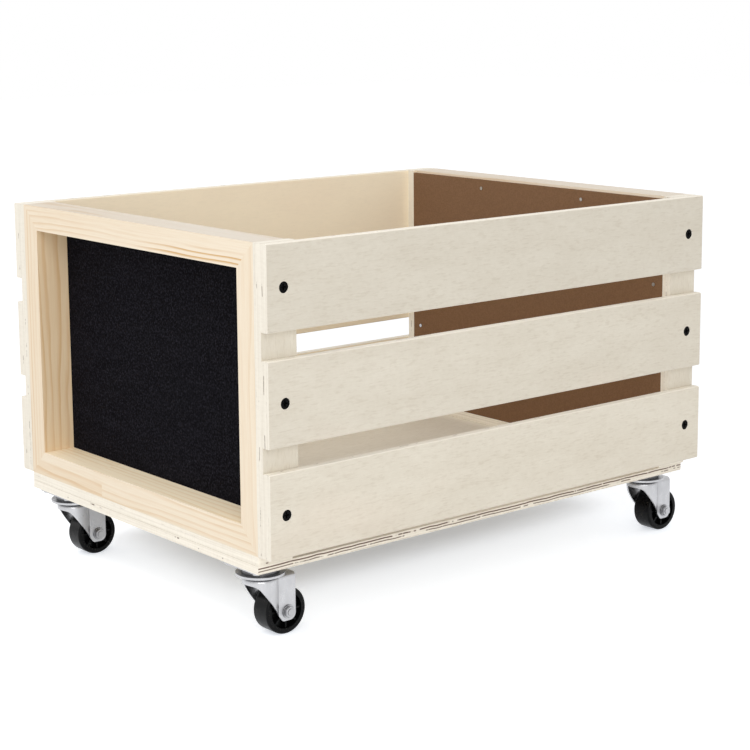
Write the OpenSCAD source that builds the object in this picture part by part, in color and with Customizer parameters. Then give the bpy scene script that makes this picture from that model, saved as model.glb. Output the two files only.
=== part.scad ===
// Open rolling crate: two framed ends, three slats down each side, a plywood bottom and four swivel casters.
// Millimetres, +Z up. The origin is on the floor below the middle of the whole outline.
// The front end faces -Y, the long side runs along Y, and left is -X as seen from the front.

/* [End frames] */
// Width of each end frame
end_w = 304; // [250:1:360]
// Face width of the mitred frame members
member_w = 19; // [15:0.5:28]
// Depth of the frame members, front to back
member_d = 26.5; // [22:0.5:34]
// Thickness of the end panels
panel_t = 3; // [2:0.5:5]
// How far a panel's top edge stays below its frame's
panel_drop = 2; // [0:0.5:6]
// Thickness of the corner posts
post_t = 7.5; // [6:0.5:10]

/* [Side slats] */
// Length of the crate, and of each slat
crate_len = 433; // [340:1:560]
// Height of each slat
slat_h = 59.5; // [50:0.5:70]
// Thickness of each slat
slat_t = 7.5; // [6:0.5:10]
// Gap between the low and the middle slat
slat_gap_low = 17.5; // [10:0.5:26]
// Gap between the middle and the top slat
slat_gap_high = 19; // [10:0.5:26]
// Rounding of the slats' long edges
slat_edge_r = 1.2; // [0.4:0.1:2]

/* [Bottom] */
// Thickness of the sill under each end
sill_t = 7; // [5:0.5:10]
// Thickness of the bottom board
board_t = 5.8; // [5:0.1:9]
// How much shorter than the crate the bottom board is, at the rear
board_short = 3; // [0:0.5:6]

/* [Caster places] */
// Height of the bottom board's underside above the floor
caster_h = 54.5; // [50:0.5:60]
// From the bottom board's side to a kingpin's axis
caster_inset_x = 26; // [22:0.5:40]
// From the crate's end to a kingpin's axis
caster_inset_y = 20.5; // [19.5:0.5:40]
// How far each axle trails behind its kingpin, towards the rear
trail = 16; // [13:0.5:18]

/* [Caster plates] */
// Width of a top plate
plate_w = 40; // [38:0.5:46]
// Length of a top plate
plate_l = 38; // [37:0.5:46]
// Thickness of a top plate
plate_t = 1.6; // [1.2:0.1:2.5]
// Corner radius of a top plate
plate_corner_r = 3; // [1:0.5:5]
// From a plate's edges to its screw holes
plate_hole_inset = 4.3; // [4:0.1:4.8]
// Radius of the upper race's rim
race_r = 17.5; // [16:0.1:18]
// Height of the upper race's rim
race_rim_h = 1.6; // [1.2:0.1:3]
// How much narrower than its rim the upper race's neck is
race_neck_step = 4; // [1.5:0.1:4.5]
// Drop from a plate's underside to the upper race's lower face
race_drop = 7.2; // [6.6:0.1:8]
// Thickness of the upper race's floor
race_floor_t = 2.6; // [2.3:0.1:3]

/* [Caster forks] */
// Outer radius of the round hood at the front of a fork
hood_r = 13; // [12.5:0.1:14]
// Height of the hood's skirt at its front
hood_front_h = 4.6; // [3.5:0.1:6]
// Thickness of the sheet that a fork is pressed from
sheet_t = 1.4; // [1:0.1:1.8]
// Thickness of a fork's crown, where the lower race is pressed
crown_t = 2.6; // [2.3:0.1:3.2]
// Gap between the crown and the upper race
crown_gap = 1.2; // [0.8:0.1:1.4]
// Outer radius of the bend between crown and legs
bend_r = 3; // [2:0.1:4]
// From the axle to a leg's rear edge
leg_rear = 6.6; // [6:0.1:8]
// From the axle down to a leg's tip
leg_tip = 6.6; // [6:0.1:8]
// Rounding of a leg's front corner at its tip
leg_toe_r = 3; // [2:0.1:5]
// Rounding of a leg's rear corner at its tip
leg_heel_r = 5; // [3:0.1:6.5]
// Slope of a leg's front edge above the floor, in degrees
leg_slope = 55; // [50:0.5:60]
// From the axle to where a leg's front edge would meet the hood's skirt
leg_brow = 25.4; // [24:0.1:26]
// Rounding where a leg's front edge runs into the skirt
brow_r = 9; // [4:0.5:10]

/* [Wheels] */
// Wheel radius
wheel_r = 17; // [15:0.1:18]
// Wheel width across the tread
wheel_w = 16.8; // [14:0.1:19]
// Rounding of the tread's edges
tread_edge_r = 1.6; // [0.6:0.1:2.4]
// Thickness of the rim, outside in
rim_t = 4; // [3:0.1:5]
// Hub radius
hub_r = 5; // [4.4:0.1:6]
// Depth of the recess in each face of a wheel
recess_d = 5; // [3:0.1:6]
// Ribs in each recess
rib_count = 8; // [4:1:12]
// Thickness of a rib
rib_t = 1.2; // [0.8:0.1:1.8]
// How far the ribs stay below the wheel's face
rib_drop = 1.2; // [0.6:0.1:2]

/* [Axles and kingpins] */
// Radius of an axle bolt
axle_r = 2.4; // [2:0.1:2.6]
// Width across the flats of an axle's nut and head
nut_flats = 7.2; // [6.6:0.1:8.5]
// Height of an axle's nut and head
nut_h = 2.2; // [1.8:0.1:4]
// Radius of the nut's round flange
flange_r = 4.7; // [4.3:0.1:5.4]
// Thickness of the nut's flange
flange_t = 0.9; // [0.6:0.1:1.2]
// How far an axle bolt stands out of its nut
axle_out = 0.5; // [0.3:0.1:2]
// Radius of a kingpin
kingpin_r = 3; // [2.5:0.1:3.4]
// Radius of a kingpin's heads
kingpin_head_r = 5; // [4.4:0.1:5.6]
// Thickness of a kingpin's heads
kingpin_head_h = 1.6; // [1.2:0.1:2]
// Radius of a race ball
ball_r = 1.6; // [1.4:0.05:1.7]
// Balls in each race
ball_count = 12; // [8:1:13]

/* [Slat screws] */
// Radius of a slat screw's head
slat_head_r = 4; // [3.2:0.1:4.4]
// Height of a slat screw's head
slat_head_h = 2.8; // [2:0.1:3.2]
// Length of a slat screw
slat_screw_len = 28; // [22:0.5:32]
// Radius of a slat screw's shank
slat_shank_r = 1.9; // [1.6:0.1:2.2]
// How far a slat screw's head lies below the slat's face
slat_head_sink = 0.8; // [0.2:0.1:1.5]
// From the front end to the slat screws
slat_screw_front = 14; // [10:0.5:15]
// From the rear end to the slat screws
slat_screw_rear = 16; // [10:0.5:16]

/* [Bottom screws, plate screws and brads] */
// Radius of a bottom screw's head
bottom_head_r = 3.6; // [3:0.1:4.2]
// Height of a bottom screw's head
bottom_head_h = 2.4; // [1.8:0.1:3]
// Length of a bottom screw
bottom_screw_len = 26; // [20:0.5:28]
// Radius of a bottom screw's shank
bottom_shank_r = 1.7; // [1.4:0.1:2]
// Radius of a plate screw's head
plate_head_r = 3.2; // [2.7:0.1:3.4]
// Height of a plate screw's head
plate_head_h = 1.7; // [1.2:0.1:2.2]
// Radius of a plate screw's shank
plate_shank_r = 1.8; // [1.4:0.1:2]
// Board left over a plate screw's tip
plate_screw_skin = 0.6; // [0.4:0.1:1.5]
// Length of a brad in the wood
brad_len = 14; // [10:0.5:16]
// Radius of a brad
brad_r = 0.7; // [0.5:0.1:1]
// Radius of a brad's head
brad_head_r = 1.5; // [1.2:0.1:2]
// Thickness of a brad's head
brad_head_h = 0.4; // [0.3:0.1:0.6]

/* [Clearances] */
// Radial gap between a screw and its hole
screw_gap = 0.05; // [0.02:0.01:0.1]
// Radial gap between a turning shaft and its hole
shaft_gap = 0.07; // [0.03:0.01:0.1]
// Gap between faces that turn past each other
run_gap = 0.3; // [0.2:0.05:0.4]
// Gap between a race ball and its tracks
ball_gap = 0.12; // [0.08:0.01:0.16]
// Gap between a wheel's face and a fork leg
face_gap = 0.5; // [0.4:0.05:0.8]

/* [Hidden] */
$fn = 48;
cut = 1;

// Colours
pine = "#E8D5B8";
ply = "#E0D4BD";
ply_edge = "#EADFC9";
board_black = "#1A181C";
screw_black = "#202022";
zinc = "#C6C8CA";
steel_bright = "#D8DADC";
wheel_black = "#1C1C1E";

// The ends, as [name, direction that the end faces along Y]
ENDS = [["front", -1], ["rear", 1]];
// The sides, as [name, direction along X]
SIDES = [["left", -1], ["right", 1]];
// The slats on each side, from the bottom up
SLATS = [["low", 0], ["middle", 1], ["top", 2]];

caster_names = [for (e = ENDS) for (s = SIDES) str(e[0], "_", s[0])];
caster_parts = ["plate", "balls", "kingpin", "fork", "axle", "nut", "wheel"];

// Heights of the crate's layers, and of the slats above the end frames' lower edge
board_z = caster_h;
sill_z = board_z + board_t;
end_z = sill_z + sill_t;
slat_z = [0, slat_h + slat_gap_low, 2 * slat_h + slat_gap_low + slat_gap_high];
end_h = slat_z[2] + slat_h;
end_d = member_d + panel_t;

// The crate's outline
post_x = end_w / 2;
slat_x = post_x + post_t;
// The wheels trail past the crate's rear end, so the crate lies a little forward of the outline's middle
rear_over = max(0, trail + wheel_r - caster_inset_y);
front_over = max(0, wheel_r - trail - caster_inset_y);
crate_y = (front_over - rear_over) / 2;

// The places of the casters
kingpin_x = end_w / 2 - caster_inset_x;
kingpin_y = crate_len / 2 - caster_inset_y;

// The layers of a caster, from the board down
plate_z = caster_h - plate_t;
race_z = plate_z - race_drop;
race_floor_z = race_z + race_floor_t;
race_neck_r = race_r - race_neck_step;
crown_z = race_z - crown_gap;
crown_under_z = crown_z - crown_t;
ball_z = (race_z + crown_z) / 2;
ball_ring_r = (kingpin_r + hood_r) / 2;
plate_hole_x = plate_w / 2 - plate_hole_inset;
plate_hole_y = plate_l / 2 - plate_hole_inset;
plate_screw_len = plate_t + board_t - plate_screw_skin;
leg_x = wheel_w / 2 + face_gap + sheet_t;
hub_half = wheel_w / 2 + face_gap - run_gap;

// The fasteners' places
bottom_screw_x = end_w / 4;
brad_x = end_w / 5;
brad_side_x = end_w / 2 - member_w / 2;
screw_tip = 5;
// The cross recess in a screw's head: its width, and its reach as a share of the head's radius
recess_w = 1.1;
recess_reach = 0.55;
// The flat top of a plate screw's head, as a share of its radius
plate_head_flat = 0.75;

// Points along an arc from angle a to angle b
function arc(cx, cy, r, a, b, n = 8) =
    [for (i = [0:n]) let (t = a + (b - a) * i / n) [cx + r * cos(t), cy + r * sin(t)]];

// ---------------------------------------------------------------- shared shapes

// Puts a 2D shape drawn in X and Z upright, and gives it depth along +Y
module upright(depth) {
    translate([0, depth, 0]) rotate([90, 0, 0]) linear_extrude(depth) children();
}

// A rectangle with round corners, about its middle
module round_rect(w, h, r) {
    square([w - 2 * r, h], center = true);
    square([w, h - 2 * r], center = true);
    for (sx = [-1, 1]) for (sy = [-1, 1])
        translate([sx * (w / 2 - r), sy * (h / 2 - r)]) circle(r);
}

// A screw pointing down from its head's face at Z = 0
module countersunk_screw(head_r, head_h, shank_r, length) {
    difference() {
        union() {
            translate([0, 0, -head_h]) cylinder(h = head_h, r1 = shank_r, r2 = head_r);
            translate([0, 0, screw_tip - length]) cylinder(h = length - screw_tip, r = shank_r);
            translate([0, 0, -length]) cylinder(h = screw_tip, r1 = shank_r / 6, r2 = shank_r);
        }
        for (turn = [0, 90]) rotate(turn)
            translate([-head_r * recess_reach, -recess_w / 2, -head_h / 2])
                cube([2 * head_r * recess_reach, recess_w, head_h]);
    }
}

// The hole for such a screw, open upwards past a head that lies sink deep
module countersunk_hole(head_r, head_h, shank_r, length, sink = 0) {
    translate([0, 0, -head_h]) cylinder(h = head_h, r1 = shank_r + screw_gap, r2 = head_r + screw_gap);
    cylinder(h = sink + cut, r = head_r + screw_gap);
    shank_hole(shank_r, length);
}

// The shank's part of a screw hole
module shank_hole(shank_r, length) {
    translate([0, 0, -length - screw_gap]) cylinder(h = length + screw_gap + cut, r = shank_r + screw_gap);
}

// ---------------------------------------------------------------- places

// An end's own frame: X across, Y inwards from its outer face, Z up from its lower edge
module at_end(end) {
    translate([0, crate_y + end[1] * crate_len / 2, end_z]) mirror([0, end[1] > 0 ? 1 : 0, 0]) children();
}

// The crate's own frame, about the middle of its length
module at_crate() {
    translate([0, crate_y, 0]) children();
}

// A caster's own frame: Z along the kingpin from the floor, Y towards the trailing axle
module at_caster(end, side) {
    translate([side[1] * kingpin_x, crate_y + end[1] * kingpin_y, 0]) children();
}

// Turns a screw that points down into one driven into a side from outside, at the slat's face
module into_side(side) {
    translate([side[1] * (slat_x + slat_t - slat_head_sink), 0, 0]) rotate([0, side[1] * 90, 0]) children();
}

// One child at each slat screw of an end, in the end's own frame
module at_slat_screws(end, side) {
    for (z = slat_z)
        translate([0, end[1] < 0 ? slat_screw_front : slat_screw_rear, z + slat_h / 2])
            into_side(side) children();
}

// One child at each bottom screw of an end, pointing up, in the end's own frame
module at_bottom_screws() {
    for (x = [-bottom_screw_x, 0, bottom_screw_x])
        translate([x, member_d / 2, board_z - end_z]) rotate([180, 0, 0]) children();
}

// One child at each brad of an end panel, pointing at the frame, in the end's own frame
module at_brads() {
    for (sx = [-1, 1]) {
        for (z = [member_w / 2, end_h - member_w / 2]) translate([sx * brad_x, end_d, z]) brad_turn() children();
        for (z = [end_h / 3, end_h * 2 / 3]) translate([sx * brad_side_x, end_d, z]) brad_turn() children();
    }
}

// Turns a brad that points down into one that points at an end's outer face
module brad_turn() {
    rotate([-90, 0, 0]) children();
}

// One child at each screw of a top plate, pointing up from the plate's underside
module at_plate_screws() {
    for (sx = [-1, 1]) for (sy = [-1, 1])
        translate([sx * plate_hole_x, sy * plate_hole_y, plate_z]) rotate([180, 0, 0]) children();
}

// ---------------------------------------------------------------- ends

module slat_screw_shanks(end) {
    for (s = SIDES) at_slat_screws(end, s) shank_hole(slat_shank_r, slat_screw_len);
}

module brad_holes() {
    at_brads() translate([0, 0, -brad_len - screw_gap])
        cylinder(h = brad_len + screw_gap + cut, r = brad_r + screw_gap, $fn = 24);
}

module top_rail(end) {
    color(pine) at_end(end) difference() {
        upright(member_d) polygon([
            [-end_w / 2, end_h],
            [end_w / 2, end_h],
            [end_w / 2 - member_w, end_h - member_w],
            [-end_w / 2 + member_w, end_h - member_w]
        ]);
        brad_holes();
    }
}

module bottom_rail(end) {
    color(pine) at_end(end) difference() {
        upright(member_d) polygon([
            [-end_w / 2, 0],
            [end_w / 2, 0],
            [end_w / 2 - member_w, member_w],
            [-end_w / 2 + member_w, member_w]
        ]);
        brad_holes();
        at_bottom_screws() shank_hole(bottom_shank_r, bottom_screw_len);
    }
}

module stile(end, side) {
    color(pine) at_end(end) difference() {
        upright(member_d) polygon([
            [side[1] * end_w / 2, 0],
            [side[1] * end_w / 2, end_h],
            [side[1] * (end_w / 2 - member_w), end_h - member_w],
            [side[1] * (end_w / 2 - member_w), member_w]
        ]);
        brad_holes();
        slat_screw_shanks(end);
    }
}

module end_panel(end) {
    color(board_black) at_end(end) difference() {
        translate([-end_w / 2, member_d, 0]) cube([end_w, panel_t, end_h - panel_drop]);
        brad_holes();
    }
}

module panel_brads() {
    color(steel_bright) for (e = ENDS) at_end(e) at_brads() {
        translate([0, 0, -brad_len]) cylinder(h = brad_len, r = brad_r, $fn = 24);
        cylinder(h = brad_head_h, r = brad_head_r, $fn = 24);
    }
}

module post(end, side) {
    color(ply) at_end(end) difference() {
        translate([side[1] > 0 ? post_x : -post_x - post_t, 0, 0]) cube([post_t, end_d, end_h]);
        slat_screw_shanks(end);
    }
}

// ---------------------------------------------------------------- sides

module slat(side, k) {
    color(ply) difference() {
        at_crate() translate([side[1] * (slat_x + slat_t / 2), -crate_len / 2, end_z + slat_z[k] + slat_h / 2])
            upright(crate_len) round_rect(slat_t, slat_h, slat_edge_r);
        for (e = ENDS) at_end(e) at_slat_screws(e, side)
            countersunk_hole(slat_head_r, slat_head_h, slat_shank_r, slat_screw_len, slat_head_sink);
    }
}

module slat_screws(side) {
    color(screw_black) for (e = ENDS) at_end(e) at_slat_screws(e, side)
        countersunk_screw(slat_head_r, slat_head_h, slat_shank_r, slat_screw_len);
}

// ---------------------------------------------------------------- bottom

module sill(end) {
    color(ply_edge) at_end(end) difference() {
        translate([-end_w / 2, 0, -sill_t]) cube([end_w, end_d, sill_t]);
        at_bottom_screws() shank_hole(bottom_shank_r, bottom_screw_len);
    }
}

module bottom_board() {
    color(ply_edge) difference() {
        at_crate() translate([-end_w / 2, -crate_len / 2, board_z]) cube([end_w, crate_len - board_short, board_t]);
        for (e = ENDS) {
            at_end(e) at_bottom_screws()
                countersunk_hole(bottom_head_r, bottom_head_h, bottom_shank_r, bottom_screw_len);
            for (s = SIDES) at_caster(e, s) at_plate_screws() shank_hole(plate_shank_r, plate_screw_len);
        }
    }
}

module bottom_screws() {
    color(zinc) for (e = ENDS) at_end(e) at_bottom_screws()
        countersunk_screw(bottom_head_r, bottom_head_h, bottom_shank_r, bottom_screw_len);
}

// Round-headed screws, with the head's seat on the plate's underside
module plate_screws() {
    color(zinc) for (e = ENDS) for (s = SIDES) at_caster(e, s) at_plate_screws() difference() {
        union() {
            translate([0, 0, -plate_screw_len]) cylinder(h = plate_screw_len, r = plate_shank_r);
            cylinder(h = plate_head_h, r1 = plate_head_r, r2 = plate_head_r * plate_head_flat);
        }
        for (turn = [0, 90]) rotate(turn)
            translate([-plate_head_r * recess_reach, -recess_w / 2, plate_head_h / 2])
                cube([2 * plate_head_r * recess_reach, recess_w, plate_head_h]);
    }
}

// ---------------------------------------------------------------- casters

// The ring-shaped ball track, half in the upper race and half in the fork's crown
module ball_track() {
    rotate_extrude() translate([ball_ring_r, ball_z]) circle(ball_r + ball_gap);
}

// A top plate with its race: a dish pressed down to a rim, with a floor that the kingpin is riveted through
module caster_plate() {
    color(zinc) difference() {
        union() {
            translate([0, 0, plate_z]) linear_extrude(plate_t) round_rect(plate_w, plate_l, plate_corner_r);
            translate([0, 0, race_z]) cylinder(h = race_rim_h, r = race_r);
            translate([0, 0, race_z]) cylinder(h = race_drop, r = race_neck_r);
        }
        translate([0, 0, race_floor_z]) cylinder(h = race_drop + plate_t, r = race_neck_r - sheet_t);
        translate([0, 0, race_z - cut]) cylinder(h = race_floor_t + 2 * cut, r = kingpin_r + screw_gap);
        ball_track();
        at_plate_screws() shank_hole(plate_shank_r, plate_screw_len);
    }
}

module race_balls() {
    color(steel_bright) for (i = [0:ball_count - 1])
        rotate(360 * i / ball_count) translate([ball_ring_r, 0, ball_z]) sphere(ball_r);
}

// A kingpin with a head on the race's floor and a head below the crown
module kingpin() {
    low_z = crown_under_z - run_gap - kingpin_head_h;
    color(zinc) {
        translate([0, 0, low_z]) cylinder(h = race_floor_z - low_z + kingpin_head_h, r = kingpin_r);
        translate([0, 0, low_z]) cylinder(h = kingpin_head_h, r = kingpin_head_r);
        translate([0, 0, race_floor_z]) cylinder(h = kingpin_head_h, r = kingpin_head_r);
    }
}

// Half of a bent sheet's section: flat on top, with a bend of radius r at its outer corner
module bent_half(w, top, r) {
    square([w - r, top]);
    square([w, top - r]);
    translate([w - r, top - r]) circle(r);
}

// A fork's form: a round hood about the kingpin, and straight sides that run back from it.
// With inset 0 this is its outside, and with inset sheet_t its hollow.
module hood_form(inset, top, back) {
    rotate_extrude() bent_half(hood_r - inset, top, bend_r - inset);
    upright(back) {
        bent_half(leg_x - inset, top, bend_r - inset);
        mirror([1, 0]) bent_half(leg_x - inset, top, bend_r - inset);
    }
}

// A fork's outline from the side, about the axle: a round-cornered tip, a sloping front edge and a skirt
module leg_outline() {
    top = crown_z - wheel_r + cut;
    brow_z = crown_z - wheel_r - hood_front_h;
    toe_z = leg_toe_r - leg_tip;
    toe_y = -leg_brow + (brow_z - toe_z) / tan(leg_slope) + leg_toe_r / sin(leg_slope);
    turn_y = -leg_brow + brow_r / tan(leg_slope) - brow_r / sin(leg_slope);
    polygon(concat(
        arc(leg_rear - leg_heel_r, leg_heel_r - leg_tip, leg_heel_r, 0, -90),
        arc(toe_y, toe_z, leg_toe_r, -90, -90 - leg_slope),
        arc(turn_y, brow_z - brow_r, brow_r, 90 - leg_slope, 90),
        [[-trail - hood_r - cut, brow_z], [-trail - hood_r - cut, top], [leg_rear, top]]
    ));
}

module fork() {
    reach = trail + leg_rear;
    color(zinc) difference() {
        intersection() {
            hood_form(0, crown_z, reach);
            translate([-hood_r - cut, trail, wheel_r]) rotate([90, 0, 90])
                linear_extrude(2 * (hood_r + cut)) leg_outline();
        }
        hood_form(sheet_t, crown_under_z, reach + cut);
        translate([0, 0, crown_under_z - cut]) cylinder(h = crown_t + 2 * cut, r = kingpin_r + shaft_gap);
        ball_track();
        at_axle() translate([0, 0, -leg_x - cut]) cylinder(h = 2 * (leg_x + cut), r = axle_r + screw_gap);
    }
}

// The axle's own frame: Z runs along the axle towards +X
module at_axle() {
    translate([0, trail, wheel_r]) rotate([0, 90, 0]) children();
}

module hexagon(flats, height) {
    cylinder(h = height, r = flats / 2 / cos(30), $fn = 6);
}

module axle() {
    color(zinc) at_axle() {
        translate([0, 0, -leg_x]) cylinder(h = 2 * leg_x + flange_t + nut_h + axle_out, r = axle_r);
        translate([0, 0, -leg_x - nut_h]) hexagon(nut_flats, nut_h);
    }
}

module nut() {
    color(zinc) at_axle() translate([0, 0, leg_x]) difference() {
        union() {
            cylinder(h = flange_t, r = flange_r);
            hexagon(nut_flats, flange_t + nut_h);
        }
        translate([0, 0, -cut]) cylinder(h = flange_t + nut_h + 2 * cut, r = axle_r + screw_gap);
    }
}

module wheel() {
    rim_r = wheel_r - rim_t;
    color(wheel_black) at_axle() difference() {
        union() {
            rotate_extrude() translate([0, -wheel_w / 2]) {
                square([wheel_r - tread_edge_r, wheel_w]);
                translate([0, tread_edge_r]) square([wheel_r, wheel_w - 2 * tread_edge_r]);
                for (z = [tread_edge_r, wheel_w - tread_edge_r])
                    translate([wheel_r - tread_edge_r, z]) circle(tread_edge_r);
            }
            translate([0, 0, -hub_half]) cylinder(h = 2 * hub_half, r = hub_r);
        }
        for (flip = [0, 180]) rotate([flip, 0, 0]) translate([0, 0, wheel_w / 2 - recess_d]) wheel_recess(rim_r);
        translate([0, 0, -hub_half - cut]) cylinder(h = 2 * (hub_half + cut), r = axle_r + shaft_gap);
    }
}

// The ring-shaped recess in a wheel's face, with the ribs left standing
module wheel_recess(rim_r) {
    difference() {
        cylinder(h = recess_d + cut, r = rim_r);
        translate([0, 0, -cut]) cylinder(h = recess_d + 3 * cut, r = hub_r);
        for (i = [0:rib_count - 1]) rotate(360 * i / rib_count)
            translate([0, -rib_t / 2, -cut]) cube([rim_r + cut, rib_t, recess_d - rib_drop + cut]);
    }
}

// ---------------------------------------------------------------- the assembly

for (e = ENDS) {
    top_rail(e);
    bottom_rail(e);
    end_panel(e);
    sill(e);
    for (s = SIDES) {
        stile(e, s);
        post(e, s);
        at_caster(e, s) caster_plate();
        at_caster(e, s) race_balls();
        at_caster(e, s) kingpin();
        at_caster(e, s) fork();
        at_caster(e, s) axle();
        at_caster(e, s) nut();
        at_caster(e, s) wheel();
    }
}
for (s = SIDES) {
    for (k = SLATS) slat(s, k[1]);
    slat_screws(s);
}
bottom_board();
bottom_screws();
plate_screws();
panel_brads();
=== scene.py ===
"""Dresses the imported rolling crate: wood, board, zinc and black plastic finishes, a plain stage and the camera."""

import math

import bpy
import numpy as np
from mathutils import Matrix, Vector


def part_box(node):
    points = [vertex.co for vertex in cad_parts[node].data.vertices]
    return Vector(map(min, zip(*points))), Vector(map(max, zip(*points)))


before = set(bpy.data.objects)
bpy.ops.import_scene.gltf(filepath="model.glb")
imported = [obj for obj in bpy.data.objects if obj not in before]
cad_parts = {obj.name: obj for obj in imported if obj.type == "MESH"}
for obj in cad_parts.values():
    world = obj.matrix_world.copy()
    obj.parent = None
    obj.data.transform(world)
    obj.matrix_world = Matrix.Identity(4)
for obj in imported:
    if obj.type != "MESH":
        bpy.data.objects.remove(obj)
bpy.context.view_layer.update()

bl_info = {
    "name": "Rolling Crate",
    "version": (1, 0, 0),
    "blender": (4, 5, 0),
    "location": "View3D > Sidebar > Crate",
    "description": "Finishes and stage for an open slatted crate on swivel casters",
    "category": "Object",
}

ENDS = ("front", "rear")
SIDES = ("left", "right")
SLATS = ("low", "middle", "top")
MEMBERS = (("top_rail", "X"), ("bottom_rail", "X"), ("left_stile", "Z"), ("right_stile", "Z"))
CASTERS = tuple(f"{end}_{side}" for end in ENDS for side in SIDES)

# Corners of the wood this near each other are one corner, and edges sharper than this angle are softened.
WELD_REACH = 0.00001
ARRIS_ANGLE = math.radians(40.0)

# A face counts as square to an axis when its normal's share along it is past the second of these, and not at all
# below the first.
SQUARE = (0.7, 0.85)

# How deep the bumps of each finish are, and how strongly they show.
WOOD_RELIEF = 0.00005
PAINT_RELIEF = 0.00004
METAL_RELIEF = 0.00002
PLASTIC_RELIEF = 0.00004
BUMP_STRENGTH = 0.6

# How far the growth rings wander and ripple, how much stronger they are on the inner and outer sides of the
# uprights, and how much of the painted warm cast of bounced light the inner sides take.
RING_WANDER, RING_RIPPLE = 0.020, 0.0022
STILE_STREAKS = 0.22
STILE_BOUNCE_WARMTH = 0.6

# The flame on the front top rail: how far to the right of the middle and above the lower edge its middle is, how
# far it reaches along the three axes, and how strong its rings are.
FLAME_RIGHT, FLAME_UP = 0.11, 0.0032
FLAME_REACH = (0.12, 0.05, 0.0085)
FLAME_STRENGTH = 0.95

# The finger joint in the front lower rail: where it is across, how long its fingers are, how far above the lower
# edge they change, how sharp its line is, how much darker the wood past it is below and above the change, and how
# far away in the tree that wood grew.
JOINT_ACROSS, JOINT_FINGER, JOINT_UP = -0.048, 0.012, 0.0112
JOINT_LINE = 0.0001
BLOCK_TONES = (0.22, 0.04)
BLOCK_AWAY = (0.7, 0.013, 0.021)

# The lines at the plywood's cut edges, from the inner or lower face: each one's share of the thickness, its half
# width, its strength, and how rare its dark stretches are.
POST_LINES = ((0.5, 0.0004, 0.7, 0.52), (0.2, 0.0002, 0.25, 0.54))
SLAT_LINES = ((0.32, 0.00045, 0.85, 0.55), (0.66, 0.0002, 0.3, 0.54))
BOARD_LINES = ((0.74, 0.0007, 0.95, 0.38), (0.4, 0.0006, 0.85, 0.42), (0.1, 0.0002, 0.4, 0.46))
SILL_LINES = ((0.22, 0.0006, 0.95, 0.62), (0.62, 0.0002, 0.3, 0.55))

# The patches to the metre along such a line, how far the plies sway, and how much rarer a calm edge's lines are.
LINE_PATCHES = 38.0
PLY_SWAY = 0.0003
CALM = 0.19

# How bright the cut edges and the outer faces are beside the plywood's own colours, how strong the figure of the
# two veneers is, the tone of the pinkest patches, and how dull bare plywood is.
SIDE_CUT, BASE_CUT = 0.93, 1.01
POST_TONE = 0.97
SLAT_TONES = (0.99, 0.94, 0.89)
OUTER_FIGURE, INNER_FIGURE = 0.9, 0.2
VENEER_PINK = (0.83, 0.6, 0.46)
PLY_ROUGHNESS = 0.64

# The depth of the black paint on an end panel, the dust on it, and how bright the dark fibres of the bare back are.
PAINT_DEPTH = 0.0002
PAINT_DUST = (0.33, 0.32, 0.42)
FIBRE_TONE = 0.55

# A caster plate's neck, dark with painted shade: the rim below it, the plate above it, how softly the shade ends,
# and how dark it is.
RIM_DEPTH = 0.0016
PLATE_DEPTH = 0.0016
NECK_SHADE_FADE = 0.0003
NECK_SHADE = 0.6

# How near other metal must be for the painted shade that darkens the plating in seams and in creases, how bright
# the smaller zinc pieces are and the dull patches on all of them, and the tones of worn screws and scuffed wheels.
SEAM_SHADE_REACH, CREASE_SHADE_REACH = 0.006, 0.0012
SCREW_BRIGHTNESS, TURNED_BRIGHTNESS = 0.9, 0.92
DULL_TONE = 0.8
SCREW_WORN = (0.05, 0.05, 0.052)
WHEEL_SCUFFED = (0.02, 0.02, 0.021)

# Numbers that set the grain of the side boards and of the bottom's boards apart from each other's.
SIDE_SEED, BASE_SEED = 20, 40

# The lamps: each one's setting, where it stands and what it looks at.
LAMPS = (
    ("left", (-2.3, -0.9, 1.3), (-0.05, -0.05, 0.14)),
    ("right", (2.25, -1.45, 1.2), (0.05, -0.05, 0.14)),
    ("top", (0.1, -1.2, 2.8), (0.0, -0.1, 0.1)),
)
LAMP_SIZE = 2.0

# Two rectangles on the floor, below the crate's middle and below the whole crate: the middle and the half size of
# each. The glow, which paints a soft shadow of the crate on the floor, goes from core to rim just outside the first,
# and to open and to far outside the second.
PAINTED_SHADOW_CORE = ((-0.053, 0.04), (0.073, 0.155))
FOOT = ((0.0, -0.006), (0.117, 0.167))
RIM_FADE = (0.0, 0.06)
OPEN_FADE = (0.01, 0.4)
FAR_FADE = (0.5, 3.0)

# The width of the photograph's frame, that of the camera's sensor in millimetres, and how far the camera sees.
PHOTO_PX = 750.0
SENSOR_WIDTH = 36.0
SIGHT = 50.0


def srgb(red, green, blue):
    """Turns a colour written from 0 to 255 into the linear values that a shader takes."""
    parts = np.array([red, green, blue]) / 255.0
    linear = np.where(parts <= 0.04045, parts / 12.92, ((parts + 0.055) / 1.055) ** 2.4)
    return tuple(float(value) for value in linear)


def tint(name, about, colour):
    """A colour property."""
    return bpy.props.FloatVectorProperty(
        name=name, description=about, subtype="COLOR", size=3, min=0.0, max=1.0, default=colour
    )


def length(name, about, value):
    """A length property, in metres."""
    return bpy.props.FloatProperty(name=name, description=about, unit="LENGTH", min=0.0, default=value)


def share(name, about, value, most=1.0):
    """A plain number property."""
    return bpy.props.FloatProperty(name=name, description=about, min=0.0, max=most, default=value)


# ---------------------------------------------------------------- what a user may change


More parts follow.
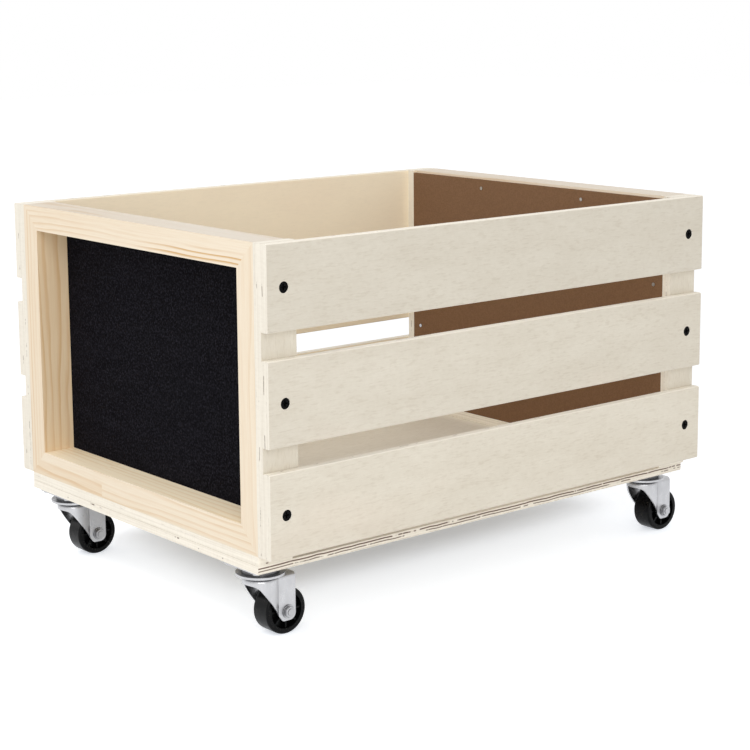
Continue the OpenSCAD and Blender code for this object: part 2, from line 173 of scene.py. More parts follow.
class CrateView(bpy.types.PropertyGroup):
    """Where the camera stands and how it looks."""

    place: bpy.props.FloatVectorProperty(
        name="Place",
        description="Where the camera stands",
        subtype="TRANSLATION",
        unit="LENGTH",
        default=(1.1374, -0.93535, 0.4439),
    )
    turn: bpy.props.FloatVectorProperty(
        name="Turn",
        description="How the camera is turned",
        subtype="EULER",
        unit="ROTATION",
        default=(math.radians(80.61), math.radians(0.384), math.radians(50.276)),
    )
    focal_px: share("Focal length", "Focal length in pixels of a frame 750 pixels wide", 1859.4, 9000.0)
    lift: bpy.props.FloatProperty(name="Lift", description="Shift of the frame, in frame widths", default=-0.1)


class CrateStage(bpy.types.PropertyGroup):
    """The floor and the light."""

    floor_reach: length("Floor reach", "Half the width of the floor", 6.0)
    floor_tone: tint("Floor", "Colour of the floor", (0.86, 0.86, 0.86))
    glow_tone: tint("Glow", "Colour of the light that the camera sees added to the floor", (0.9, 0.94, 1.0))
    # The core, rim and open glows paint a soft shadow of the crate on the floor; the far glow keeps the far floor
    # white.
    painted_shadow_core_glow: share("Core glow", "What the camera sees added to the floor below the middle of the crate", 0.26, 2.0)
    painted_shadow_rim_glow: share("Rim glow", "What it sees added to the floor below the crate's sides", 0.60, 2.0)
    painted_shadow_open_glow: share("Open glow", "What it sees added to the floor beside the crate", 0.27, 2.0)
    far_glow: share("Far glow", "What it sees added to the far floor, which the lamps reach less", 0.48, 2.0)
    sky: share("Sky", "Strength of the even light from all sides", 0.68, 5.0)
    left: share("Left lamp", "Power of the large lamp at the left, in watts", 9.0, 500.0)
    right: share("Right lamp", "Power of the large lamp at the front right, in watts", 27.0, 500.0)
    top: share("Top lamp", "Power of the large lamp overhead, a little to the front, in watts", 24.0, 500.0)


class CrateWood(bpy.types.PropertyGroup):
    """The colours of the woods and the end panels."""

    pine_pale: tint("Pine, pale", "Early wood of the frames", srgb(239, 225, 203))
    pine_tan: tint("Pine, tan", "Late wood of the frames", srgb(208, 165, 105))
    # Painted shade: this greyer tone darkens the upward faces of the top rails.
    pine_painted_top_shade: tint("Pine, grey", "What darkens the upper edge of the frames", srgb(233, 236, 243))
    # Painted light: this tone gives the inner faces of the stiles a warm cast of bounced light.
    pine_painted_bounce_warmth: tint("Pine, warm", "What warms the inner edges of the uprights", srgb(255, 238, 208))
    # Painted light: this colour is added to the upward faces of the lower rails.
    pine_painted_shelf_light: tint("Pine, light", "What lightens the inner edges of the lower rails", srgb(108, 100, 70))
    pine_gap: length("Pine rings", "Distance between growth rings", 0.0040)
    ply_face: tint("Ply face", "Outer veneer of slats and posts", srgb(227, 220, 205))
    # The inner veneer's own warmer tone, lightened further as painted bounce light inside the crate.
    ply_back: tint("Ply back", "Inner veneer of slats and posts", srgb(254, 240, 213))
    ply_fleck: tint("Ply flecks", "Short fibres in the face veneer", srgb(196, 184, 164))
    ply_edge: tint("Ply edge", "Cut edge of the plywood", srgb(248, 241, 227))
    ply_glue: tint("Ply glue line", "Glue lines and gaps at a cut edge", srgb(88, 56, 38))
    board_black: tint("Board black", "Painted face of an end panel", srgb(6, 5, 8))
    board_brown: tint("Board brown", "Bare back and edge of an end panel", srgb(132, 101, 76))
    arris: length("Wood arris", "Width of the softened edges of the wood", 0.0004)


class CrateMetal(bpy.types.PropertyGroup):
    """The colours of the hardware."""

    zinc: tint("Zinc", "Zinc plating of plates, forks and nuts", srgb(192, 192, 194))
    # This dark colour is painted shade in seams, creases and narrow gaps, and on the caster plates' necks.
    zinc_painted_shade: tint("Zinc, dark", "Greasy plating in seams and narrow gaps", srgb(34, 34, 36))
    zinc_rough: share("Zinc roughness", "How dull the plating is", 0.32)
    screw: tint("Screw black", "Black finish of the slat screws", srgb(5, 5, 6))
    wheel: tint("Wheel black", "Moulded plastic of the wheels", srgb(8, 8, 9))
    wheel_rough: share("Wheel roughness", "How dull the plastic is", 0.3)


# ---------------------------------------------------------------- node trees


class Tree:
    """A node tree, with short ways to add a node and join it to others."""

    def __init__(self, tree):
        self.tree = tree
        self.tree.nodes.clear()

    def add(self, kind, inputs=None, **settings):
        """Adds a node, sets its settings and fills its sockets with values or with other sockets."""
        node = self.tree.nodes.new(kind)
        for name, value in settings.items():
            setattr(node, name, value)
        for name, value in (inputs or {}).items():
            self.fill(node.inputs[name], value)
        return node

    def fill(self, socket, value):
        """Joins a socket to another socket, or sets its value."""
        if isinstance(value, bpy.types.NodeSocket):
            self.tree.links.new(value, socket)
        else:
            socket.default_value = value

    def reckon(self, operation, first, second=0.0):
        """One step of arithmetic."""
        node = self.add("ShaderNodeMath", operation=operation)
        for socket, value in zip(node.inputs, (first, second)):
            self.fill(socket, value)
        return node.outputs["Value"]

    def total(self, *values):
        """The sum of several values."""
        result = values[0]
        for value in values[1:]:
            result = self.reckon("ADD", result, value)
        return result

    def product(self, first, second):
        """The product of two values."""
        return self.reckon("MULTIPLY", first, second)

    def step(self, value, low, high, low_to=0.0, high_to=1.0):
        """Goes smoothly from low_to to high_to as value goes from low to high."""
        inputs = {"Value": value, "From Min": low, "From Max": high, "To Min": low_to, "To Max": high_to}
        return self.add("ShaderNodeMapRange", inputs, interpolation_type="SMOOTHSTEP").outputs["Result"]

    def blend(self, amount, low, high, way="MIX"):
        """Goes from the low colour to the high one, or mixes the high one in another of the Mix node's ways."""
        node = self.add("ShaderNodeMix", data_type="RGBA", blend_type=way)
        self.fill(node.inputs["Factor"], amount)
        for socket, value in zip((node.inputs[6], node.inputs[7]), (low, high)):
            self.fill(socket, value if isinstance(value, bpy.types.NodeSocket) else (*value, 1.0))
        return node.outputs[2]

    def vector(self, operation, *values):
        """One step of vector arithmetic."""
        node = self.add("ShaderNodeVectorMath", operation=operation)
        for socket, value in zip(node.inputs, values):
            self.fill(socket, value)
        return node.outputs["Value" if operation == "LENGTH" else "Vector"]

    def stretch(self, place, scale, shift=(0.0, 0.0, 0.0)):
        """Scales and shifts a place, axis by axis."""
        return self.vector("MULTIPLY_ADD", place, scale, shift)

    def noise(self, place, scale, detail=2.0, roughness=0.5, shift=(0.0, 0.0, 0.0)):
        """Smooth noise from 0 to 1. scale is its patches to the metre, one number for all axes or one for each."""
        scales = scale if isinstance(scale, tuple) else (scale, scale, scale)
        inputs = {"Vector": self.stretch(place, scales, shift), "Scale": 1.0, "Detail": detail, "Roughness": roughness}
        return self.add("ShaderNodeTexNoise", inputs).outputs["Fac"]

    def parts(self, vector):
        """The X, Y and Z of a vector."""
        return self.add("ShaderNodeSeparateXYZ", {0: vector}).outputs

    def seen_directly(self):
        """1 for rays from the camera or from a glossy or clear surface, 0 for rays that light things."""
        path = self.add("ShaderNodeLightPath").outputs
        rays = self.total(path["Is Camera Ray"], path["Is Glossy Ray"], path["Is Transmission Ray"])
        return self.reckon("MINIMUM", rays, 1.0)


class Shader(Tree):
    """A material's node tree with one surface shader."""

    def __init__(self, name):
        self.material = bpy.data.materials.new(name)
        self.material.use_nodes = True
        super().__init__(self.material.node_tree)
        self.surface = self.add("ShaderNodeBsdfPrincipled")
        self.add("ShaderNodeOutputMaterial", {"Surface": self.surface.outputs["BSDF"]})

    def finish(self, **inputs):
        """Fills the surface shader's sockets and returns the material. An underscore stands for a space."""
        for name, value in inputs.items():
            self.fill(self.surface.inputs[name.replace("_", " ")], value)
        return self.material

    def here(self):
        """The place on the object, in metres."""
        return self.add("ShaderNodeTexCoord").outputs["Object"]

    def grain(self, axis, shift):
        """The place turned so that the grain runs along X, and shifted to a part of the tree of its own."""
        turns = {"X": (0.0, 0.0, 0.0), "Y": (0.0, 0.0, -math.pi / 2), "Z": (0.0, math.pi / 2, 0.0)}
        inputs = {"Vector": self.here(), "Location": shift, "Rotation": turns[axis]}
        return self.add("ShaderNodeMapping", inputs).outputs["Vector"]

    def faces(self, axis, sign=0):
        """1 on the faces square to an axis: all of them, or only those that look along it (1) or against it (-1)."""
        facing = self.parts(self.add("ShaderNodeTexCoord").outputs["Normal"])["XYZ".index(axis)]
        facing = self.product(facing, float(sign)) if sign else self.reckon("ABSOLUTE", facing)
        return self.step(facing, *SQUARE)

    def inside(self, place, centre, reach):
        """1 around the centre of an ellipsoid, 0 at its reach."""
        scale = tuple(1.0 / part for part in reach)
        shift = tuple(-middle / part for middle, part in zip(centre, reach))
        return self.step(self.vector("LENGTH", self.stretch(place, scale, shift)), 0.35, 1.0, 1.0, 0.0)

    def beyond(self, centre, half):
        """How far a place on the floor lies outside a rectangle that is square to the axes."""
        away = self.vector("ABSOLUTE", self.stretch(self.here(), (1.0, 1.0, 0.0), (-centre[0], -centre[1], 0.0)))
        outside = self.vector("SUBTRACT", away, (*half, 0.0))
        return self.vector("LENGTH", self.vector("MAXIMUM", outside, (0.0, 0.0, 0.0)))

    def openness(self, distance):
        """How much of the half space over a place is free within a distance: 0 in narrow gaps, 1 in the open."""
        return self.add("ShaderNodeAmbientOcclusion", {"Distance": distance}, samples=8).outputs["AO"]

    def bump(self, height, distance):
        """Turns a height from 0 to 1 into a bump that is distance metres deep."""
        inputs = {"Height": height, "Distance": distance, "Strength": BUMP_STRENGTH}
        return self.add("ShaderNodeBump", inputs).outputs["Normal"]


# ---------------------------------------------------------------- finishes


def pine(name, axis, shift, wood, side, streaks, painted_light_tints, flame, joint):
    """Planed pine: growth rings about a heart outside the board, fine fibres along it, and slow changes of tone.

    streaks is how much stronger the rings are on the faces square to the side axis. Each tint gives some faces painted
    light and shade of their own: the axis and the way along it that they look, the colour, how much of it, and the
    way it is mixed in. flame is an ellipsoid with stronger rings, its centre and its reach. joint is a glued finger
    joint, past which the grain is another's: its place across, the length of its fingers and the height of their
    change.
    """
    shader = Shader(name)
    here = shader.here()
    place = shader.grain(axis, shift)
    if joint:
        across, finger, height = joint
        x, _, z = shader.parts(here)
        edge = shader.step(z, height - JOINT_LINE, height + JOINT_LINE, across, across - finger)
        block = shader.step(shader.reckon("SUBTRACT", edge, x), -JOINT_LINE, JOINT_LINE)
        place = shader.vector("ADD", place, shader.vector("MULTIPLY", BLOCK_AWAY, block))
    wander = shader.noise(place, (2.6, 18.0, 18.0), detail=3.0)
    ripple = shader.noise(place, (16.0, 60.0, 60.0))
    radius = shader.vector("LENGTH", shader.stretch(place, (0.0, 1.0, 1.0)))
    drift = shader.total(shader.product(wander, RING_WANDER), shader.product(ripple, RING_RIPPLE))
    ring = shader.reckon("FRACT", shader.reckon("DIVIDE", shader.total(radius, drift), wood.pine_gap))
    late = shader.product(shader.step(ring, 0.42, 0.9), shader.step(ring, 0.91, 1.0, 1.0, 0.0))
    patch = shader.noise(place, (3.0, 42.0, 42.0))
    strong = shader.total(shader.step(patch, 0.38, 0.7, 0.03, 0.36), shader.product(shader.faces(side), streaks))
    if flame:
        strong = shader.total(strong, shader.product(shader.inside(here, *flame), FLAME_STRENGTH))
    fibres = shader.noise(place, (26.0, 950.0, 950.0), detail=3.0, roughness=0.6)
    pores = shader.step(shader.noise(place, (90.0, 2400.0, 2400.0), detail=1.0), 0.6, 0.76)
    tone = shader.noise(place, (4.0, 26.0, 26.0))
    tan = shader.total(
        shader.product(late, strong),
        shader.step(tone, 0.3, 0.75, 0.0, 0.14),
        shader.step(fibres, 0.35, 0.7, -0.04, 0.08),
        shader.product(pores, 0.08),
    )
    if joint:
        darker = shader.step(z, height - 5.0 * JOINT_LINE, height + 5.0 * JOINT_LINE, *BLOCK_TONES)
        tan = shader.total(tan, shader.product(darker, block))
    colour = shader.blend(tan, wood.pine_pale, wood.pine_tan)
    for face_axis, sign, other, amount, way in painted_light_tints:
        colour = shader.blend(shader.product(shader.faces(face_axis, sign), amount), colour, other, way)
    relief = shader.total(fibres, shader.product(late, 0.6))
    return shader.finish(
        Base_Color=colour, Roughness=shader.step(tone, 0.2, 0.8, 0.54, 0.66), Normal=shader.bump(relief, WOOD_RELIEF)
    )


def veneer(shader, axis, shift, wood, face, strength, tone=1.0):
    """The face of bare plywood: short fibres, cloudy patches and a few pink ones. Gives its colour and height.

    strength scales the contrast of its figure, and tone its brightness.
    """
    place = shader.grain(axis, shift)
    fibres = shader.noise(place, (90.0, 1000.0, 1000.0), detail=3.0, roughness=0.65)
    short = shader.noise(place, (150.0, 760.0, 760.0))
    cloud = shader.noise(place, (22.0, 60.0, 60.0), detail=4.0, roughness=0.65)
    bands = shader.noise(place, (1.6, 60.0, 60.0))
    mottle = shader.noise(place, 330.0)
    pink = shader.noise(place, (6.0, 12.0, 12.0), detail=1.0, shift=(3.1, 1.7, 0.4))
    amount = shader.total(
        shader.step(fibres, 0.3, 0.72, 0.0, 0.16),
        shader.step(short, 0.52, 0.7, 0.0, 0.24),
        shader.step(cloud, 0.3, 0.7, 0.0, 0.17),
        shader.step(bands, 0.3, 0.7, 0.0, 0.08),
        shader.step(mottle, 0.35, 0.65, 0.0, 0.07),
    )
    pale, dark = (tuple(tone * part for part in colour) for colour in (face, wood.ply_fleck))
    colour = shader.blend(shader.product(amount, strength), pale, dark)
    colour = shader.blend(shader.step(pink, 0.6, 0.78, 0.0, 0.1), colour, VENEER_PINK)
    return colour, fibres


def plywood(name, axis, shift, wood, stack, box, lines, cut, tone=1.0, inner=0, calm=""):
    """Bare plywood: a veneer on its two faces, and dark glue lines and gaps where the plies are cut.

    stack is the axis that the plies are stacked along, and inner the way along it that the warmer inner veneer
    looks, if there is one; that veneer is lighter partly as painted bounce light. lines are laid out as SLAT_LINES
    is, from the low side of the box. On the faces square to the calm axis they are rarer. cut scales the colour of
    the cut edges, and tone that of the outer veneer.
    """
    shader = Shader(name)
    index = "XYZ".index(stack)
    low, high = box[0][index], box[1][index]

    def scales(through, along):
        """One number through the plies and another along them."""
        return tuple(through if i == index else along for i in range(3))

    here = shader.here()
    colour, fibres = veneer(shader, axis, shift, wood, wood.ply_face, OUTER_FIGURE, tone)
    if inner:
        # The inner veneer's lighter, warmer colour is partly its own and partly painted bounce light inside the crate.
        warm, _ = veneer(shader, axis, shift, wood, wood.ply_back, INNER_FIGURE)
        colour = shader.blend(shader.faces(stack, inner), colour, warm)
    depth = shader.reckon("SUBTRACT", shader.parts(here)[index], low)
    sway = shader.noise(here, scales(0.0, 1.6 * LINE_PATCHES), detail=1.0, shift=shift)
    depth = shader.total(depth, shader.step(sway, 0.2, 0.8, -PLY_SWAY, PLY_SWAY))
    ends = shader.noise(here, scales(160.0, 520.0))
    stripe = shader.noise(here, scales(900.0, 12.0))
    grey = shader.total(shader.step(ends, 0.35, 0.75, 0.0, 0.09), shader.step(stripe, 0.4, 0.7, 0.0, 0.22))
    edge = shader.blend(grey, tuple(cut * part for part in wood.ply_edge), wood.ply_fleck)
    dark = 0.0
    calmer = shader.product(shader.faces(calm), CALM) if calm else 0.0
    for number, (place, half, strength, rare) in enumerate(lines):
        away = shader.reckon("ABSOLUTE", shader.reckon("SUBTRACT", depth, place * (high - low)))
        seed = tuple(part + 3.7 * number for part in shift)
        worn = shader.noise(here, scales(0.0, LINE_PATCHES), detail=4.0, roughness=0.7, shift=seed)
        worn = shader.reckon("SUBTRACT", worn, calmer)
        mark = shader.product(shader.step(away, 0.4 * half, half, 1.0, 0.0), shader.step(worn, rare, rare + 0.06))
        dark = shader.reckon("MAXIMUM", dark, shader.product(mark, strength))
    edge = shader.blend(dark, edge, wood.ply_glue)
    relief = shader.reckon("SUBTRACT", fibres, shader.product(dark, 2.0))
    return shader.finish(
        Base_Color=shader.blend(shader.faces(stack), edge, colour),
        Roughness=PLY_ROUGHNESS,
        Normal=shader.bump(relief, WOOD_RELIEF),
    )


def end_board(name, wood, outward, middle):
    """Hardboard: a black painted face outside, finely speckled and dusty, and a bare brown back and edge."""
    shader = Shader(name)
    here = shader.here()
    beyond = shader.product(shader.reckon("SUBTRACT", shader.parts(here)[1], middle), outward)
    painted = shader.step(beyond, -0.1 * PAINT_DEPTH, 0.1 * PAINT_DEPTH)
    peel = shader.noise(here, 560.0)
    dust = shader.noise(here, (9.0, 9.0, 14.0), detail=4.0, roughness=0.65)
    wiped = shader.noise(here, (16.0, 16.0, 100.0), detail=3.0, shift=(2.0, 0.0, 0.0))
    speck = shader.step(shader.noise(here, 900.0, detail=1.0), 0.5, 0.8)
    pale = shader.total(
        shader.step(dust, 0.4, 0.8, 0.0, 0.008),
        shader.step(wiped, 0.45, 0.8, 0.0, 0.006),
        shader.step(peel, 0.42, 0.8, 0.0, 0.04),
        shader.product(speck, 0.04),
    )
    black = shader.blend(pale, wood.board_black, PAINT_DUST)
    mesh = shader.noise(here, 900.0, detail=3.0)
    deep = tuple(FIBRE_TONE * part for part in wood.board_brown)
    brown = shader.blend(shader.step(mesh, 0.3, 0.7, 0.0, 0.4), wood.board_brown, deep)
    return shader.finish(
        Base_Color=shader.blend(painted, brown, black),
        Roughness=shader.step(dust, 0.3, 0.7, 0.74, 0.88),
        Specular_IOR_Level=0.03,
        Normal=shader.bump(peel, PAINT_RELIEF),
    )


def zinc(name, metal, brightness=1.0, neck=None):
    """Zinc plating: a metal with fine mottling, faint draw marks and dull patches, and painted shade in seams and
    creases.

    neck is the lowest and the highest place of a neck dark with painted shade, if there is one.
    """
    shader = Shader(name)
    here = shader.here()
    fine = shader.noise(here, 1500.0)
    cloud = shader.noise(here, (140.0, 140.0, 70.0), detail=3.0)
    draw = shader.noise(here, (900.0, 900.0, 60.0))
    bright = tuple(part * brightness for part in metal.zinc)
    dull = tuple(DULL_TONE * part for part in bright)
    colour = shader.blend(shader.step(cloud, 0.3, 0.75, 0.0, 0.4), bright, dull)
    # Painted shade: the plating darkens where other metal is near, in seams and in creases.
    colour = shader.blend(shader.step(shader.openness(SEAM_SHADE_REACH), 0.2, 0.75), metal.zinc_painted_shade, colour)
    colour = shader.blend(shader.step(shader.openness(CREASE_SHADE_REACH), 0.3, 0.85, 0.25), metal.zinc_painted_shade, colour)
    # Painted shade on the neck between the plate and the rim below it.
    if neck:
        z = shader.parts(here)[2]
        low, high = neck
        shaded_neck = shader.product(
            shader.step(z, low, low + NECK_SHADE_FADE), shader.step(z, high - NECK_SHADE_FADE, high, 1.0, 0.0)
        )
        colour = shader.blend(shader.product(shaded_neck, NECK_SHADE), colour, metal.zinc_painted_shade)
    rough = shader.total(
        shader.step(fine, 0.3, 0.7, -0.05, 0.06), shader.step(cloud, 0.3, 0.7, -0.04, 0.07), metal.zinc_rough
    )
    return shader.finish(
        Base_Color=colour, Metallic=1.0, Roughness=rough, Normal=shader.bump(shader.total(draw, fine), METAL_RELIEF)
    )


def black_metal(name, metal):
    """A black finished screw: dark, faintly glossy metal with worn bright specks."""
    shader = Shader(name)
    fine = shader.noise(shader.here(), 1800.0)
    return shader.finish(
        Base_Color=shader.blend(shader.step(fine, 0.62, 0.78, 0.0, 0.12), metal.screw, SCREW_WORN),
        Specular_IOR_Level=0.07,
        Roughness=shader.step(fine, 0.3, 0.7, 0.36, 0.5),
        Normal=shader.bump(fine, METAL_RELIEF),
    )


def black_plastic(name, metal):
    """Glossy moulded plastic: near black, with a faint ripple and light scuffs."""
    shader = Shader(name)
    here = shader.here()
    ripple = shader.noise(here, 240.0)
    fine = shader.noise(here, 1600.0)
    scuffs = shader.step(shader.noise(here, (500.0, 60.0, 60.0), detail=3.0), 0.58, 0.75)
    relief = shader.total(ripple, shader.product(fine, 0.3))
    return shader.finish(
        Base_Color=shader.blend(shader.product(scuffs, 0.2), metal.wheel, WHEEL_SCUFFED),
        Roughness=shader.total(
            shader.step(ripple, 0.3, 0.7, -0.04, 0.06), shader.product(scuffs, 0.12), metal.wheel_rough
        ),
        Specular_IOR_Level=0.12,
        Normal=shader.bump(relief, PLASTIC_RELIEF),
    )


# ---------------------------------------------------------------- dressing


def paint(node, material):
    """Gives a CAD node its finish."""
    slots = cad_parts[node].data.materials
    slots.clear()
    slots.append(material)


def soften(node, width):
    """Breaks a CAD node's sharp edges, so that they catch the light."""
    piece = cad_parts[node]
    weld = piece.modifiers.new("weld", "WELD")
    weld.merge_threshold = WELD_REACH
    bevel = piece.modifiers.new("bevel", "BEVEL")
    bevel.width = width
    bevel.segments = 2
    bevel.limit_method = "ANGLE"
    bevel.angle_limit = ARRIS_ANGLE
    normals = piece.modifiers.new("normals", "WEIGHTED_NORMAL")
    normals.weight = 100


def seed_shift(number):
    """A place in the tree that differs for each board, and keeps the heart outside it."""
    return (1.7 * number, 0.31 + 0.017 * (number % 5), 0.043 + 0.011 * (number % 7))


class CrateOperator(bpy.types.Operator):
    """Common settings of the crate's operators."""

    bl_options = {"REGISTER", "UNDO"}


class CRATE_OT_end_frames(CrateOperator):
    """Finishes the pine members of both end frames, with the grain along each member"""

    bl_idname = "crate.end_frames"
    bl_label = "End Frames"

    def execute(self, context):
        wood = context.scene.crate_wood
        top_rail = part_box("front_top_rail")[0]
        lower_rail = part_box("front_bottom_rail")[0]
        flames = {"front_top_rail": ((FLAME_RIGHT, top_rail.y, top_rail.z + FLAME_UP), FLAME_REACH)}
        joints = {"front_bottom_rail": (JOINT_ACROSS, JOINT_FINGER, lower_rail.z + JOINT_UP)}
        # Painted light and shade on single faces: shade on the top rails' upper faces, light on the lower rails' upper
        # faces, and a warm cast of bounced light on the stiles' inner faces.
        painted_light_tints = {
            "top_rail": (("Z", 1, wood.pine_painted_top_shade, 1.0, "MULTIPLY"),),
            "bottom_rail": (("Z", 1, wood.pine_painted_shelf_light, 1.0, "ADD"),),
            "left_stile": (("X", 1, wood.pine_painted_bounce_warmth, STILE_BOUNCE_WARMTH, "MULTIPLY"),),
            "right_stile": (("X", -1, wood.pine_painted_bounce_warmth, STILE_BOUNCE_WARMTH, "MULTIPLY"),),
        }
        members = [(f"{end}_{member}", member, axis) for end in ENDS for member, axis in MEMBERS]
        for number, (node, member, axis) in enumerate(members, 1):
            side, streaks = ("X", STILE_STREAKS) if axis == "Z" else ("Z", 0.0)
            extras = (painted_light_tints[member], flames.get(node), joints.get(node))
            paint(node, pine(f"pine_{node}", axis, seed_shift(number), wood, side, streaks, *extras))
            soften(node, wood.arris)
        return {"FINISHED"}


class CRATE_OT_end_panels(CrateOperator):
    """Finishes the two end panels, black outside and brown inside"""

    bl_idname = "crate.end_panels"
    bl_label = "End Panels"

    def execute(self, context):
        for end, outward in (("front", -1.0), ("rear", 1.0)):
            low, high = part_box(f"{end}_panel")
            outer = low.y if end == "front" else high.y
            middle = outer - outward * PAINT_DEPTH
            paint(f"{end}_panel", end_board(f"board_{end}", context.scene.crate_wood, outward, middle))
        return {"FINISHED"}


class CRATE_OT_side_plywood(CrateOperator):
    """Finishes the corner posts and the side slats as plywood whose plies are stacked across the crate"""

    bl_idname = "crate.side_plywood"
    bl_label = "Posts and Slats"

    def execute(self, context):
        wood = context.scene.crate_wood
        boards = [(f"{end}_{side}_post", side, "Z", POST_LINES, POST_TONE) for end in ENDS for side in SIDES]
        boards += [
            (f"{side}_{slat}_slat", side, "Y", SLAT_LINES, tone)
            for side in SIDES
            for slat, tone in zip(SLATS, SLAT_TONES)
        ]
        for number, (node, side, axis, lines, tone) in enumerate(boards, SIDE_SEED):
            inner = -1
            if side == "left":
                inner = 1
                lines = tuple((1.0 - place, *rest) for place, *rest in lines)
            board = (f"ply_{node}", axis, seed_shift(number), wood, "X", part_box(node), lines)
            paint(node, plywood(*board, SIDE_CUT, tone, inner))
            if node.endswith("slat"):
                soften(node, wood.arris)
        return {"FINISHED"}


class CRATE_OT_bottom(CrateOperator):
    """Finishes the bottom board and the two sills as plywood whose plies are stacked upwards"""

    bl_idname = "crate.bottom"
    bl_label = "Bottom and Sills"

    def execute(self, context):
        wood = context.scene.crate_wood
        boards = (
            ("bottom_board", "Y", BOARD_LINES, "Y"),
            ("front_sill", "X", SILL_LINES, ""),
            ("rear_sill", "X", SILL_LINES, ""),
        )
        for number, (node, axis, lines, calm) in enumerate(boards, BASE_SEED):
            board = (f"ply_{node}", axis, seed_shift(number), wood, "Z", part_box(node), lines)
            paint(node, plywood(*board, BASE_CUT, calm=calm))
            soften(node, wood.arris)
        return {"FINISHED"}


class CRATE_OT_screws(CrateOperator):
    """Finishes the black slat screws and the zinc screws and brads"""

    bl_idname = "crate.screws"
    bl_label = "Screws and Brads"

    def execute(self, context):
        metal = context.scene.crate_metal
        black = black_metal("screw_black", metal)
        bright = zinc("screw_zinc", metal, SCREW_BRIGHTNESS)
        for side in SIDES:
            paint(f"{side}_slat_screws", black)
        for node in ("bottom_screws", "plate_screws", "panel_brads"):
            paint(node, bright)
        return {"FINISHED"}


class CRATE_OT_casters(CrateOperator):
    """Finishes the plates, balls, kingpins, forks, axles, nuts and wheels of the casters"""

    bl_idname = "crate.casters"
    bl_label = "Casters"

    def execute(self, context):
        metal = context.scene.crate_metal
        low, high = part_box("front_left_plate")
        plating = zinc("zinc_pressed", metal)
        # The plates take the zinc whose neck is dark with painted shade.
        necked = zinc("zinc_necked", metal, neck=(low.z + RIM_DEPTH, high.z - PLATE_DEPTH))
        turned = zinc("zinc_turned", metal, TURNED_BRIGHTNESS)
        plastic = black_plastic("wheel_black", metal)
        for caster in CASTERS:
            paint(f"{caster}_plate", necked)
            paint(f"{caster}_fork", plating)
            for part in ("balls", "kingpin", "axle", "nut"):
                paint(f"{caster}_{part}", turned)
            paint(f"{caster}_wheel", plastic)
        return {"FINISHED"}


# ---------------------------------------------------------------- stage


def area_lamp(name, place, aim, power):
    """A large square lamp that looks at a point."""
    data = bpy.data.lights.new(name, "AREA")
    data.size = LAMP_SIZE
    data.energy = power
    lamp = bpy.data.objects.new(name, data)
    lamp.location = place
    lamp.rotation_euler = (Vector(aim) - Vector(place)).to_track_quat("-Z", "Y").to_euler()
    bpy.context.scene.collection.objects.link(lamp)


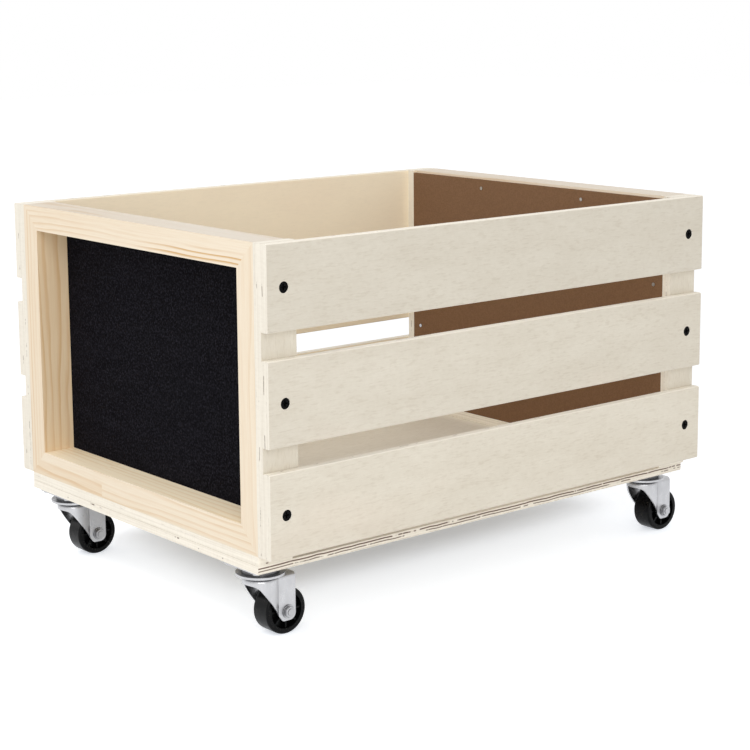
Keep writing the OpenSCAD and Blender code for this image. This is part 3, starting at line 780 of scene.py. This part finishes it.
class CRATE_OT_stage(CrateOperator):
    """Builds the floor, the lamps, the white surround and the camera"""

    bl_idname = "crate.stage"
    bl_label = "Stage"

    def execute(self, context):
        settings = context.scene.crate_stage
        self.make_floor(settings)
        self.make_light(context.scene, settings)
        self.make_camera(context.scene, context.scene.crate_view)
        context.scene.view_settings.view_transform = "Standard"
        return {"FINISHED"}

    def make_floor(self, settings):
        """A square floor just below the wheels, which shows white, keeps the crate's shadow and has a painted shadow
        too.
        """
        reach = settings.floor_reach
        mesh = bpy.data.meshes.new("floor")
        corners = [(-reach, -reach, 0.0), (reach, -reach, 0.0), (reach, reach, 0.0), (-reach, reach, 0.0)]
        mesh.from_pydata(corners, [], [(0, 1, 2, 3)])
        floor = bpy.data.objects.new("floor", mesh)
        bpy.context.scene.collection.objects.link(floor)
        shader = Shader("floor")
        core, rim, beside, far = settings.painted_shadow_core_glow, settings.painted_shadow_rim_glow, settings.painted_shadow_open_glow, settings.far_glow
        # The glow paints a soft shadow around the crate: low below its middle, brightest below its sides.
        outer = shader.beyond(*FOOT)
        glow = shader.total(
            shader.step(shader.beyond(*PAINTED_SHADOW_CORE), *RIM_FADE, core, rim),
            shader.step(outer, *OPEN_FADE, 0.0, beside - rim),
            shader.step(outer, *FAR_FADE, 0.0, far - beside),
        )
        mesh.materials.append(
            shader.finish(
                Base_Color=(*settings.floor_tone, 1.0),
                Roughness=1.0,
                Specular_IOR_Level=0.0,
                Emission_Color=(*settings.glow_tone, 1.0),
                Emission_Strength=shader.product(shader.seen_directly(), glow),
            )
        )

    def make_light(self, scene, settings):
        """Large soft lamps, and a sky that lights evenly but shows white."""
        for lamp, place, aim in LAMPS:
            area_lamp(f"{lamp}_lamp", place, aim, getattr(settings, lamp))
        world = bpy.data.worlds.new("surround")
        world.use_nodes = True
        tree = Tree(world.node_tree)
        strength = tree.step(tree.seen_directly(), 0.0, 1.0, settings.sky, 1.0)
        sky = tree.add("ShaderNodeBackground", {"Color": (1.0, 1.0, 1.0, 1.0), "Strength": strength})
        tree.add("ShaderNodeOutputWorld", {"Surface": sky.outputs[0]})
        scene.world = world

    def make_camera(self, scene, view):
        """The camera, with its focal length given in pixels of the photograph's frame."""
        data = bpy.data.cameras.new("camera")
        data.sensor_width = SENSOR_WIDTH
        data.lens = view.focal_px / PHOTO_PX * SENSOR_WIDTH
        data.shift_y = view.lift
        data.clip_end = SIGHT
        camera = bpy.data.objects.new("camera", data)
        camera.location = view.place
        camera.rotation_euler = view.turn
        scene.collection.objects.link(camera)
        scene.camera = camera


class CRATE_PT_sidebar(bpy.types.Panel):
    """Lists the crate's settings and steps in the 3D view's sidebar"""

    bl_idname = "CRATE_PT_sidebar"
    bl_label = "Rolling Crate"
    bl_space_type = "VIEW_3D"
    bl_region_type = "UI"
    bl_category = "Crate"

    def draw(self, context):
        layout = self.layout
        for label, group, operators in SECTIONS:
            box = layout.box()
            box.label(text=label)
            settings = getattr(context.scene, group)
            for name in settings.__annotations__:
                box.prop(settings, name)
            for operator in operators:
                box.operator(operator.bl_idname)


SECTIONS = (
    ("Wood", "crate_wood", (CRATE_OT_end_frames, CRATE_OT_end_panels, CRATE_OT_side_plywood, CRATE_OT_bottom)),
    ("Hardware", "crate_metal", (CRATE_OT_screws, CRATE_OT_casters)),
    ("Stage", "crate_stage", (CRATE_OT_stage,)),
    ("Camera", "crate_view", ()),
)
GROUPS = {
    "crate_wood": CrateWood,
    "crate_metal": CrateMetal,
    "crate_stage": CrateStage,
    "crate_view": CrateView,
}
OPERATORS = tuple(operator for _, _, operators in SECTIONS for operator in operators)
CLASSES = (*GROUPS.values(), *OPERATORS, CRATE_PT_sidebar)


def register():
    """Registers the classes and gives the scene its settings."""
    for cls in CLASSES:
        bpy.utils.register_class(cls)
    for name, group in GROUPS.items():
        setattr(bpy.types.Scene, name, bpy.props.PointerProperty(type=group))


def unregister():
    """Takes back what register did."""
    for name in GROUPS:
        delattr(bpy.types.Scene, name)
    for cls in reversed(CLASSES):
        bpy.utils.unregister_class(cls)


def main():
    """Calls every operator in order."""
    register()
    for operator in OPERATORS:
        family, step = operator.bl_idname.split(".")
        getattr(getattr(bpy.ops, family), step)()


if __name__ == "__main__":
    main()
